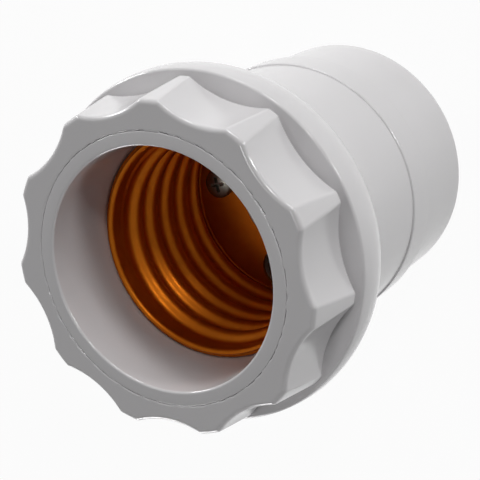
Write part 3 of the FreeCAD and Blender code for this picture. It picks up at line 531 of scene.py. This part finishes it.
# Shell: the barrel, flange, body and spigot, with four notches and two holes in its ledge
def make_shell():
    corners = [
        (MOUTH_RADIUS, TOP, SOFT_EDGE),
        (MOUTH_RADIUS, LIP_SEAT, LIP_SEAT_EDGE),
        (SHELL_BORE, LIP_SEAT, FINE_EDGE),
        (SHELL_BORE, BLOCK_BOTTOM, FINE_EDGE),
        (LEDGE_BORE, BLOCK_BOTTOM, FINE_EDGE),
        (LEDGE_BORE, LEDGE_BOTTOM, FINE_EDGE),
        (SPIGOT_RADIUS, LEDGE_BOTTOM, SOFT_EDGE),
        (SPIGOT_RADIUS, JOINT, FINE_EDGE),
        (BODY_RADIUS, JOINT, HAIR_EDGE),
        (BODY_RADIUS, FLANGE_REAR, FLANGE_BLEND),
    ]
    corners += flange_rim()
    corners += [(BARREL_RADIUS, FLANGE_FRONT, HAIR_EDGE), (BARREL_RADIUS, TOP, BARREL_EDGE)]
    mesh = lathe("shell", rounded(corners), LARGE_FACETS)
    below = LEDGE_BOTTOM - OVERCUT
    notch_outline = rectangle(NOTCH_NEAR, NOTCH_FAR, NOTCH_HALF_WIDTH)
    cutters = []
    for turn in range(4):
        notch = prism("notch", notch_outline, below, BLOCK_BOTTOM)
        notch.transform(Matrix.Rotation(turn * QUARTER_TURN, 4, "Z"))
        cutters.append(notch)
    for turn in range(2):
        hole = rod("hole", LEDGE_HOLE, below, BLOCK_BOTTOM, HOLE_FACETS)
        moved(hole, (BLOCK_SCREW_CIRCLE, 0, 0))
        hole.transform(Matrix.Rotation(math.pi / 4 + turn * math.pi, 4, "Z"))
        cutters.append(hole)
    mesh = carved(mesh, cutters)
    finish_mesh("shell_moulding", mesh, white, "holder", "shell")


# Shade ring: eleven lobes that widen towards the flange, with every edge rounded
def lobed_outline(up, inset):
    """One turn of the lobed outline at a height, moved inward by an inset."""
    scallop_steps, corner_steps, tip_steps = 22, 7, 6
    share = (TOP - up) / (TOP - RING_REAR)
    tip = RING_FRONT_RADIUS + (RING_REAR_RADIUS - RING_FRONT_RADIUS) * share
    depth, scallop_radius = (
        front + (rear - front) * share for front, rear in zip(SCALLOP_FRONT, SCALLOP_REAR)
    )
    centre = tip - depth + scallop_radius
    reach = tip - LOBE_CORNER
    gap = scallop_radius + LOBE_CORNER
    away = math.acos((reach**2 + centre**2 - gap**2) / (2 * centre * reach))
    corner = Vector((reach * math.cos(away), reach * math.sin(away)))
    scallop = Vector((centre, 0))
    turn_in = math.atan2(corner.y - scallop.y, corner.x - scallop.x)
    turn_out = turn_in - math.pi
    lobe_angle = FULL_TURN / LOBES
    cos, sin = math.cos(lobe_angle), math.sin(lobe_angle)
    mirrored = (corner.x * cos + corner.y * sin, corner.x * sin - corner.y * cos)
    far = lobe_angle - away
    corner_radius = LOBE_CORNER - inset
    lobe = arc(scallop, scallop_radius + inset, FULL_TURN - turn_in, turn_in, scallop_steps)
    lobe += arc(corner, corner_radius, turn_out, away, corner_steps)[1:]
    lobe += arc((0, 0), tip - inset, away, far, tip_steps)[1:]
    lobe += arc(mirrored, corner_radius, far, lobe_angle - turn_out, corner_steps)[1:-1]
    points = []
    first_scallop = lobe_angle / 2 + math.radians(LOBE_TURN)
    for place in range(LOBES):
        turn = place * lobe_angle + first_scallop
        cos, sin = math.cos(turn), math.sin(turn)
        points += [(x * cos - y * sin, x * sin + y * cos) for x, y in lobe]
    return points


def seam_edge(angle):
    """Rounding of the edge at the seam, which the mould's flash breaks into short dashes."""
    least, most = 0.01, 0.23
    threshold, rise = 0.6, 0.5
    waves = ((23, 0.7), (41, 1.9), (67, 0.0))
    level = sum(math.sin(count * angle + phase) for count, phase in waves)
    return least + (most - least) * min(max((level + threshold) / rise, 0.0), 1.0)


def make_ring():
    neck_low, neck_high = TOP - 1.2, TOP - 1.0
    seam_steps = 4
    foot, face_land = 0.6, 0.12
    angles = [math.atan2(y, x) for x, y in lobed_outline(TOP, RING_FRONT_ROUND)]

    def lobed_row(up, inset):
        return [(x, y, up) for x, y in lobed_outline(up, inset)]

    def round_row(radius, up):
        return [(radius * math.cos(angle), radius * math.sin(angle), up) for angle in angles]

    rows = []
    for step in range(EDGE_STEPS + 1):
        turn = QUARTER_TURN * step / EDGE_STEPS
        up = TOP - RING_FRONT_ROUND * (1 - math.cos(turn))
        rows.append(lobed_row(up, RING_FRONT_ROUND * (1 - math.sin(turn))))
    for step in range(EDGE_STEPS + 1):
        turn = QUARTER_TURN * step / EDGE_STEPS
        up = RING_REAR + RING_REAR_ROUND * (1 - math.sin(turn))
        rows.append(lobed_row(up, RING_REAR_ROUND * (1 - math.cos(turn))))
    rows.append(round_row(RING_BORE + foot, RING_REAR))
    rows.append(round_row(RING_BORE + RING_BORE_EDGE, RING_REAR))
    rows.append(round_row(RING_BORE, RING_REAR + RING_BORE_EDGE))
    rows.append(round_row(RING_BORE, neck_low))
    rows.append(round_row(SEAM_RADIUS, neck_high))
    for step in range(seam_steps + 1):
        turn = QUARTER_TURN * step / seam_steps
        row = []
        for angle in angles:
            edge = seam_edge(angle)
            radius = SEAM_RADIUS + edge * (1 - math.cos(turn))
            up = TOP - edge * (1 - math.sin(turn))
            row.append((radius * math.cos(angle), radius * math.sin(angle), up))
        rows.append(row)
    rows.append(round_row(SEAM_RADIUS + SEAM_LAND, TOP))
    rows.append(lobed_row(TOP, RING_FRONT_ROUND + face_land))
    points = [(x * MM, y * MM, up * MM) for row in rows for x, y, up in row]
    mesh = new_mesh("shade_ring", points, bands(len(rows), len(angles)))
    finish_mesh("ring_moulding", mesh, white, "ring", "shade_ring")


# Rear cap with the raised band, the step behind it and the rounded rear edge
def make_cap():
    front, front_edge = CAP_TOP + 0.12, 0.25
    band_edge, rear_edge = 0.22, 1.2
    floor_edge, collar_foot = 1.5, 0.4
    spigot_bore, spigot_floor = 15.62, 10.6
    bore, floor = 14.9, 2.4
    collar, collar_top = 9.0, 4.2
    entry, recess, recess_depth = 6.0, 7.7, 1.15
    corners = [
        (recess, 0, FINE_EDGE),
        (CAP_TAIL_RADIUS, 0, rear_edge),
        (CAP_TAIL_RADIUS, CAP_BAND, FINE_EDGE),
        (CAP_BAND_RADIUS, CAP_BAND, band_edge),
        (CAP_BAND_RADIUS, front, front_edge),
        (spigot_bore, front, SMALL_EDGE),
        (spigot_bore, spigot_floor, FINE_EDGE),
        (bore, spigot_floor, SMALL_EDGE),
        (bore, floor, floor_edge),
        (collar, floor, collar_foot),
        (collar, collar_top, SOFT_EDGE),
        (entry, collar_top, FINE_EDGE),
        (entry, recess_depth, HAIR_EDGE),
        (recess, recess_depth, HAIR_EDGE),
    ]
    mesh = lathe("rear_cap", rounded(corners), LARGE_FACETS)
    finish_mesh("cap_moulding", mesh, white, "cap", "rear_cap")


# Entry bush with its fine inner thread, one turn per millimetre
def make_bush():
    pitch, depth, flank, run_out = 1.0, 0.5, 2.6, 0.4
    low, high, rows = 0.9, 6.3, 64
    head, head_top, bevel = 7.6, 1.1, 0.15
    outside, top, top_bevel = 5.9, 6.8, 0.4
    bore, bore_end, end_bevel = 4.46, 4.5, 0.2
    entry, entry_top, entry_low = 5.0, 0.6, 0.5

    def outline(angle):
        points = [(entry, 0.0), (head - bevel, 0.0), (head, bevel)]
        points += [(head, head_top - bevel), (head - bevel, head_top)]
        points += [(outside, head_top), (outside, top - top_bevel), (outside - top_bevel, top)]
        points += [(bore_end + end_bevel, top), (bore_end, top - end_bevel)]
        for row in range(rows + 1):
            up = high - (high - low) * row / rows
            phase = (up / pitch - angle / FULL_TURN) % 1.0
            tooth = max(0.0, 1 - abs(phase - 0.5) * flank)
            fade = min(1.0, (up - low) / run_out, (high - up) / run_out)
            points.append((bore + depth * (1 - tooth) * max(fade, 0.0), up))
        points += [(bore, entry_top), (bore_end, entry_low)]
        return points

    mesh = turned("entry_bush", outline, MEDIUM_FACETS)
    finish_mesh("bush_turning", mesh, turned_brass, "cap", "entry_bush", sharp=50)


# Screw shell: the drawn cup with its rolled lip, the rounded thread and the pierced bottom
def thread_radius(angle, up):
    """Inner radius of the rolled thread, as two arcs to a pitch."""
    pitch, depth = THREAD_PITCH, THREAD_DEPTH
    bend = (pitch**2 / 4 + depth**2) / (4 * depth)
    start = DISC_TOP - pitch / 4
    along = ((up - start) / pitch - angle / FULL_TURN + 0.5) % 1.0 - 0.5
    run = abs(along) * pitch
    minor = THREAD_MAJOR - depth
    if run <= pitch / 4:
        return THREAD_MAJOR - bend + math.sqrt(bend**2 - run**2)
    return minor + bend - math.sqrt(bend**2 - (pitch / 2 - run) ** 2)


def smooth_step(value):
    """A share from 0 to 1 that starts and ends gently."""
    value = min(max(value, 0.0), 1.0)
    return value * value * (3 - 2 * value)


def make_screw_shell():
    thread_top, run_out, rows = 36.2, 1.1, 120
    inner_top, relief = 38.3, DISC_TOP + 0.55
    lip_low = LIP_SEAT + 0.02
    lip_foot = lip_low + 0.05
    lip_middle, lip_round = (14.0, lip_low + 0.3), 0.36
    crown, crown_start = 0.55, QUARTER_TURN + 0.15
    crown_middle = (THREAD_MAJOR + crown, lip_low + lip_round + 0.06)
    bend = 0.15
    bend_middle = (THREAD_MAJOR - bend, DISC_TOP + 0.25)
    bead = 0.17
    bead_middle = (THREAD_MAJOR - 0.4, DISC_TOP + 0.04)
    hole, hole_edge = 5.5, 0.12
    under, outer_bend, outer_gap = BLOCK_TOP + 0.02, 0.2, 0.5

    def inner(angle, up):
        """Inner radius with the thread fading out at both ends."""
        fade = smooth_step((thread_top + run_out - up) / run_out)
        fade *= smooth_step((up - relief) / run_out)
        return THREAD_MAJOR - (THREAD_MAJOR - thread_radius(angle, up)) * fade

    def outline(angle):
        points = [(lip_middle[0] + lip_round, lip_foot)]
        points += arc(lip_middle, lip_round, 0.0, QUARTER_TURN, steps=5)
        points += arc(crown_middle, crown, crown_start, math.pi, steps=6)
        for row in range(rows + 1):
            up = inner_top - (inner_top - relief) * row / rows
            points.append((inner(angle, up), up))
        points += arc(bend_middle, bend, 0.0, -QUARTER_TURN, steps=3)
        points += arc(bead_middle, bead, math.pi / 4, math.pi, steps=7)
        points += [(hole + hole_edge, DISC_TOP), (hole, DISC_TOP - hole_edge), (hole, under)]
        points += [(THREAD_MAJOR - outer_bend, under)]
        points += [(THREAD_MAJOR + outer_bend, BLOCK_TOP + outer_bend)]
        for row in range(rows + 1):
            up = relief + (inner_top - relief - outer_gap) * row / rows
            points.append((inner(angle, up) + SHEET, up))
        points += [(THREAD_MAJOR + SHEET, lip_low)]
        return points

    mesh = turned("screw_shell", outline, CUP_FACETS)
    low, high = BLOCK_TOP - OVERCUT / 2, DISC_TOP + 0.3
    cutters = []
    for side in (1, -1):
        screw_hole = rod("screw_hole", SCREW_WAY, low, high, DISC_HOLE_FACETS)
        cutters.append(moved(screw_hole, (side * FIXING_CIRCLE, 0, 0)))
    access = rod("access", ACCESS_RADIUS, low, high, SMALL_FACETS)
    cutters.append(moved(access, (0, FIXING_CIRCLE, 0)))
    mesh = carved(mesh, cutters)
    finish_mesh("brass_cup", mesh, brass, "holder", "screw_shell", sharp=40)


# Contact block with its boss, well and holes
def make_block():
    boss_edge = 0.35
    cavity, cavity_top = 3.4, 19.7
    contact_way, way_low, way_high = 2.5, 19.0, 21.5
    plate_screw_way, plate_screw_top = 1.0, ACCESS_FLOOR + 0.5
    pilot, pilot_top = 0.8, 17.1
    below, above = BLOCK_BOTTOM - OVERCUT, BLOCK_TOP + OVERCUT
    corners = [
        (0, BLOCK_BOTTOM, 0),
        (BLOCK_RADIUS, BLOCK_BOTTOM, SMALL_EDGE),
        (BLOCK_RADIUS, BLOCK_TOP, SMALL_EDGE),
        (BOSS_RADIUS, BLOCK_TOP, HAIR_EDGE),
        (BOSS_RADIUS, BOSS_TOP, boss_edge),
        (0, BOSS_TOP, 0),
    ]
    mesh = lathe("contact_block", rounded(corners), MEDIUM_FACETS)
    well = rod("well", ACCESS_RADIUS, ACCESS_FLOOR, above, SMALL_FACETS)
    well_hole = rod("well_hole", plate_screw_way, below, plate_screw_top, HOLE_FACETS)
    cutters = [
        rod("cavity", cavity, below, cavity_top, SMALL_FACETS),
        rod("contact_way", contact_way, way_low, way_high, SMALL_FACETS),
        moved(well, (0, FIXING_CIRCLE, 0)),
        moved(well_hole, (0, FIXING_CIRCLE, 0)),
    ]
    for side in (1, -1):
        screw_way = rod("screw_way", SCREW_WAY, below, above, HOLE_FACETS)
        cutters.append(moved(screw_way, (side * FIXING_CIRCLE, 0, 0)))
        place = side * BLOCK_SCREW_CIRCLE * math.sqrt(0.5)
        screw_pilot = rod("pilot", pilot, below, pilot_top, HOLE_FACETS)
        cutters.append(moved(screw_pilot, (place, place, 0)))
    mesh = carved(mesh, cutters)
    finish_mesh("insulating_block", mesh, ivory, "holder", "contact_block")


# Centre contact: a tail for the spring, a flange under the boss and a domed button
def make_contact():
    tail, tail_end, tail_bevel = 1.2, 16.4, 0.1
    flange, flange_top, bevel = 3.1, 19.6, 0.05
    button, shoulder, crown = 2.4, 21.55, 0.75
    outline = [(0, tail_end), (tail - tail_bevel, tail_end), (tail, tail_end + tail_bevel)]
    outline += [(tail, CONTACT_SEAT), (flange - bevel, CONTACT_SEAT)]
    outline += [(flange, CONTACT_SEAT + bevel), (flange, flange_top - bevel)]
    outline += [(flange - bevel, flange_top), (button, flange_top), (button, shoulder)]
    outline += arc((button - crown, shoulder), crown, 0.0, QUARTER_TURN, steps=8)[1:]
    outline += [(0, shoulder + crown)]
    mesh = lathe("centre_contact", outline, CONTACT_FACETS)
    finish_mesh("contact_button", mesh, turned_brass, "contact", "centre_contact")


# Coil spring under the centre contact. The real spring shortens as the contact is pressed down;
# this mesh keeps one length.
def make_spring():
    wire, radius, turns = 0.28, 2.2, 4
    end_gap = 0.33
    low, high = BLOCK_BOTTOM + end_gap, CONTACT_SEAT - end_gap
    steps, sides = 160, 12
    rise = (high - low) / (FULL_TURN * turns)
    points = []
    for step in range(steps + 1):
        angle = FULL_TURN * turns * step / steps
        outward = Vector((math.cos(angle), math.sin(angle), 0))
        along = Vector((-math.sin(angle) * radius, math.cos(angle) * radius, rise)).normalized()
        across = along.cross(outward)
        middle = outward * radius + Vector((0, 0, low + rise * angle))
        for side in range(sides):
            turn = FULL_TURN * side / sides
            point = middle + (outward * math.cos(turn) + across * math.sin(turn)) * wire
            points.append(point * MM)
    faces = [tuple(range(sides)), tuple(range(steps * sides, (steps + 1) * sides))]
    faces += bands(steps + 1, sides, closed=False)
    mesh = new_mesh("contact_spring", points, faces)
    spring = finish_mesh("coil_spring", mesh, steel, "holder", "contact_spring")
    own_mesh(spring)


# Screws: rounded heads with a tapered cross recess or a slot
def screw_mesh(name, head, head_height, shank, length, crown):
    """Screw about Z with its head's seat at Z = 0 and its shank below."""
    point_bevel, point_rise, head_bevel = 0.2, 0.25, 0.08
    crown_steps, crown_reach = 8, 0.98
    outline = [(0, -length), (shank - point_bevel, -length), (shank, -length + point_rise)]
    outline += [(shank, 0), (head - head_bevel, 0), (head, head_bevel)]
    outline += [(head, head_height - crown)]
    for step in range(1, crown_steps + 1):
        turn = QUARTER_TURN * step / crown_steps
        across = head * math.cos(turn * crown_reach)
        up = head_height - crown + crown * math.sin(turn)
        outline.append((across, min(up, head_height)))
    outline.append((0, head_height))
    return lathe(name, outline, SMALL_FACETS)


def cross_cutters(head_height):
    """Two crossed bars that narrow towards the bottom of the recess."""
    reach, half_width, shrink = 1.2, 0.27, 0.55
    depth, rise = 0.6, 0.2
    low, high = head_height - depth, head_height + rise
    cutters = []
    for turn in range(2):
        bar = prism("cross", rectangle(-reach, reach, half_width), low, high, shrink)
        bar.transform(Matrix.Rotation(turn * QUARTER_TURN, 4, "Z"))
        cutters.append(bar)
    return cutters


def make_screws():
    head_height, screw_turn = 1.1, 18
    joined = bmesh.new()
    for side in (1, -1):
        mesh = screw_mesh(
            "screw", head=1.9, head_height=head_height, shank=1.0, length=9.5, crown=0.45
        )
        mesh = carved(mesh, cross_cutters(head_height))
        mesh.transform(Matrix.Rotation(math.radians(screw_turn * side), 4, "Z"))
        moved(mesh, (side * FIXING_CIRCLE, 0, DISC_TOP))
        joined.from_mesh(mesh)
    pair = bpy.data.meshes.new("shell_screws")
    joined.to_mesh(pair)
    joined.free()
    finish_mesh("cross_head_screws", pair, screw_steel, "holder", "shell_screws")
    slot_reach, slot_half_width, slot_low, slot_high = 3, 0.225, 0.5, 1.2
    mesh = screw_mesh("plate_screw", head=2.3, head_height=0.9, shank=0.9, length=5.8, crown=0.3)
    slot_outline = rectangle(-slot_reach, slot_reach, slot_half_width)
    mesh = carved(mesh, [prism("slot", slot_outline, slot_low, slot_high)])
    moved(mesh, (0, FIXING_CIRCLE, ACCESS_FLOOR))
    finish_mesh("slotted_screw", mesh, screw_steel, "holder", "plate_screw")


make_shell()
make_ring()
make_cap()
make_bush()
make_screw_shell()
make_block()
make_contact()
make_spring()
make_screws()
dress_nodes()


# Camera at the photograph's place: where the mouth's centre and the socket's axes lie in the
# camera's view, with X to the right, Y down and Z away from it. The sensor's width is in
# millimetres and the nearest point seen in metres.
PICTURE_PIXELS = 480
FOCAL_PIXELS = 1500
SENSOR_WIDTH = 36
NEAREST_SEEN = 0.001
MOUTH_IN_VIEW = Vector((-9.164, 3.567, 168.258))
REARWARD = Vector((0.4913, -0.2913, 0.8208)).normalized()
LEFT_RIM = Vector((-0.871, -0.1643, 0.463)).normalized()
UPPER_RIM = REARWARD.cross(LEFT_RIM)
SPIN = math.radians(3.7)

axis_x = LEFT_RIM * math.cos(SPIN) + UPPER_RIM * math.sin(SPIN)
axis_z = -REARWARD
axis_y = axis_z.cross(axis_x)
view_rows = Matrix((axis_x, axis_y, axis_z))


def in_frame(direction):
    """A direction of the camera's view, turned into the socket's frame."""
    return view_rows @ Vector(direction)


def make_camera():
    data = bpy.data.cameras.new("camera")
    data.sensor_width = SENSOR_WIDTH
    data.lens = FOCAL_PIXELS * SENSOR_WIDTH / PICTURE_PIXELS
    data.clip_start = NEAREST_SEEN
    camera = new_object("camera", data)
    eye = Vector((0, 0, TOP)) + in_frame(-MOUTH_IN_VIEW)
    columns = [in_frame((1, 0, 0)), in_frame((0, -1, 0)), in_frame((0, 0, -1))]
    camera.matrix_world = Matrix.Translation(eye * MM) @ Matrix(columns).transposed().to_4x4()
    bpy.context.scene.camera = camera


make_camera()

# Surroundings: how brightly the floor and the world show, where 1 is white, and how much
# light the world gives. The floor is measured in metres.
FLOOR_COLOUR = (0.86, 0.86, 0.86, 1)
PLAIN_WHITE = (1, 1, 1, 1)
FLOOR_RADIUS = 3.0
FLOOR_FACETS = 96
FLOOR_SHOWN = 0.95
WORLD_SHOWN = 0.3
WORLD_LIGHT = 0.04


def make_floor():
    """Pale floor that shows nearly white and keeps a faint shadow."""
    shader = Shader("floor")
    pale = shader.add("ShaderNodeBsdfDiffuse")
    pale.inputs["Color"].default_value = FLOOR_COLOUR
    glow = shader.add("ShaderNodeEmission")
    glow.inputs["Color"].default_value = PLAIN_WHITE
    glow.inputs["Strength"].default_value = 1.0
    share = shader.seen(0.0, FLOOR_SHOWN)
    mix = shader.add("ShaderNodeMixShader")
    shader.join(share, "Value", mix, "Fac")
    shader.join(pale, "BSDF", mix, 1)
    shader.join(glow, "Emission", mix, 2)
    shader.join(mix, "Shader", shader.output, "Surface")
    mesh = bpy.data.meshes.new("floor")
    shape = bmesh.new()
    bmesh.ops.create_circle(shape, cap_ends=True, segments=FLOOR_FACETS, radius=FLOOR_RADIUS)
    shape.to_mesh(mesh)
    shape.free()
    mesh.materials.append(shader.material)
    floor = new_object("floor", mesh)


def make_world():
    """Grey surround, seen above the floor and in the gloss, that lights the socket faintly."""
    world = bpy.data.worlds.new("surround")
    world.use_nodes = True
    nodes = Nodes(world.node_tree)
    background = nodes.tree.nodes["Background"]
    background.inputs["Color"].default_value = PLAIN_WHITE
    nodes.join(nodes.seen(WORLD_LIGHT, WORLD_SHOWN), "Value", background, "Strength")
    bpy.context.scene.world = world


make_floor()
make_world()

# Studio light: each lamp's direction in the camera's view, width in metres and power in watts
LAMP_DISTANCE = 0.5
LAMP_TARGET = 25
LAMPS = {
    "left": ((-0.81, -0.57, 0.11), 0.12, 0.9),
    "top": ((-0.2, -0.9, -0.38), 0.12, 0.34),
    "upper": ((0.0, -0.78, -0.62), 0.08, 0.32),
    "right": ((0.56, -0.3, -0.76), 0.08, 0.5),
    "front": ((0.05, -0.4, -0.91), 0.05, 0.32),
    "mouth": ((-0.635, 0.377, -0.674), 0.06, 0.13),
    "back": ((-0.38, 0.865, 0.32), 0.2, 0.9),
}


def disc_lamp(name, direction, width, power):
    """Round lamp in a direction of the camera's view, aimed at the socket's middle."""
    data = bpy.data.lights.new(name, "AREA")
    data.shape = "DISK"
    data.size = width
    data.energy = power
    lamp = new_object(name, data)
    toward = in_frame(direction).normalized()
    lamp.location = Vector((0, 0, LAMP_TARGET * MM)) + toward * LAMP_DISTANCE
    lamp.rotation_euler = toward.to_track_quat("Z", "Y").to_euler()


for lamp_name, (lamp_direction, lamp_width, lamp_power) in LAMPS.items():
    disc_lamp(lamp_name, lamp_direction, lamp_width, lamp_power)

bpy.context.scene.view_settings.view_transform = "Standard"
